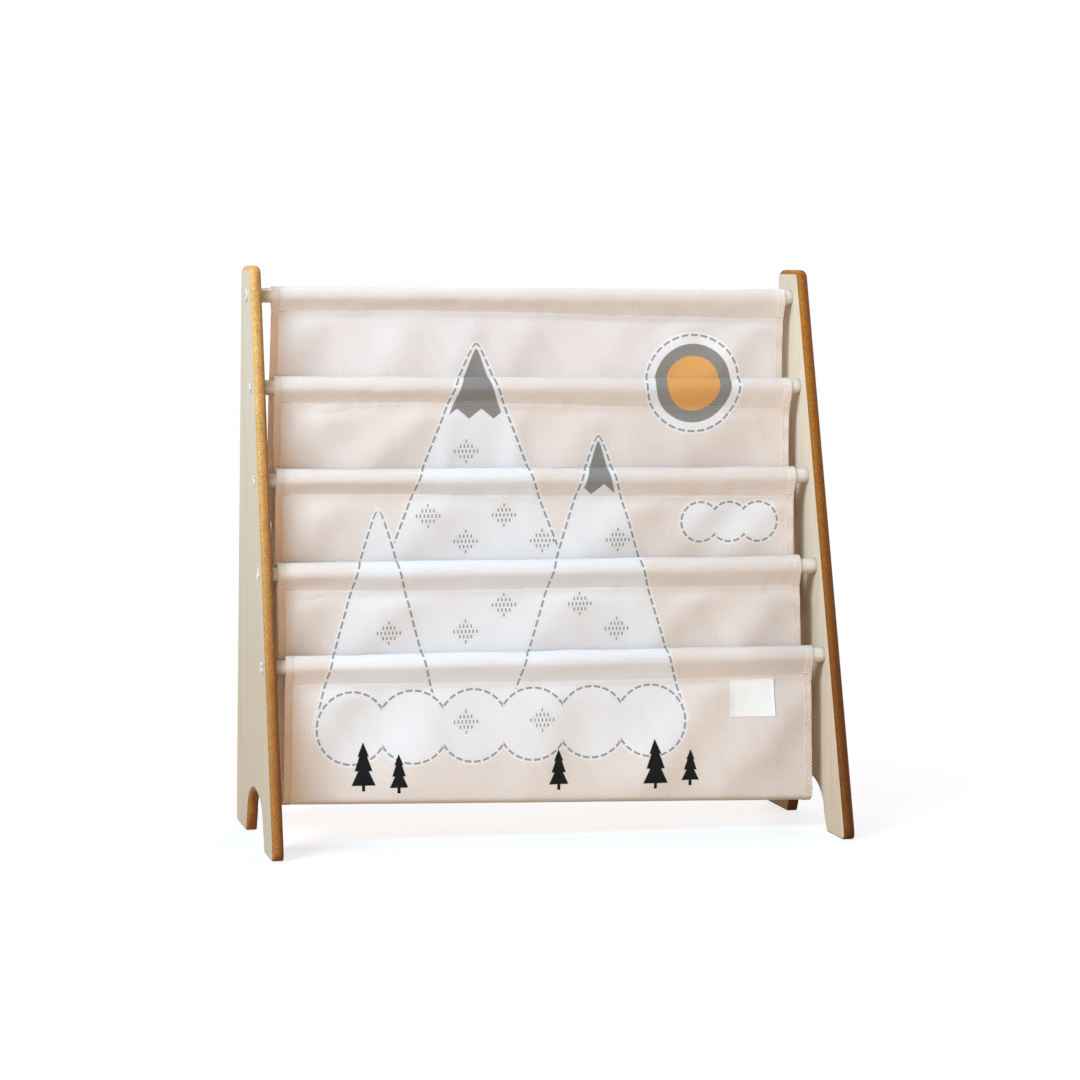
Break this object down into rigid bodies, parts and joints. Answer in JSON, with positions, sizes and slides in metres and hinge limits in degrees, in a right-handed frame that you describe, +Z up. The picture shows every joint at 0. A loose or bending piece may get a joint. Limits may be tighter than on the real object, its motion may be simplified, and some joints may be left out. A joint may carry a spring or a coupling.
{
  "type": "sling bookshelf",
  "caption": "Child's sling bookshelf: A-shaped side panels joined by rods that carry a cloth sling with stepped hanging pockets.",
  "frame": {"origin": "on the floor, in the middle of the shelf's width and of its depth at the feet", "axes": "+X to the right along the rods, +Y to the back, +Z up; the pockets face -Y"},
  "size_m": [0.6286, 0.276, 0.6098],
  "materials": {
    "panel": "whitewashed board with bare honey-coloured edges",
    "rod": "painted off-white, satin",
    "bolt": "zinc plated",
    "insert": "plain",
    "sling_fabric": "printed canvas",
    "label": "blank woven tape"
  },
  "bodies": {
    "root": {"bolt_left_1": "bolt", "bolt_left_2": "bolt", "bolt_left_3": "bolt", "bolt_left_4": "bolt", "bolt_left_5": "bolt", "bolt_right_1": "bolt", "bolt_right_2": "bolt", "bolt_right_3": "bolt", "bolt_right_4": "bolt", "bolt_right_5": "bolt", "insert_left_1": "insert", "insert_left_2": "insert", "insert_left_3": "insert", "insert_left_4": "insert", "insert_left_5": "insert", "insert_right_1": "insert", "insert_right_2": "insert", "insert_right_3": "insert", "insert_right_4": "insert", "insert_right_5": "insert", "label": "label", "pocket_cloth_1": "sling_fabric", "pocket_cloth_2": "sling_fabric", "pocket_cloth_3": "sling_fabric", "pocket_cloth_4": "sling_fabric", "rod_1": "rod", "rod_2": "rod", "rod_3": "rod", "rod_4": "rod", "rod_5": "rod", "side_panel_left": "panel", "side_panel_right": "panel"}
  },
  "joints": []
}
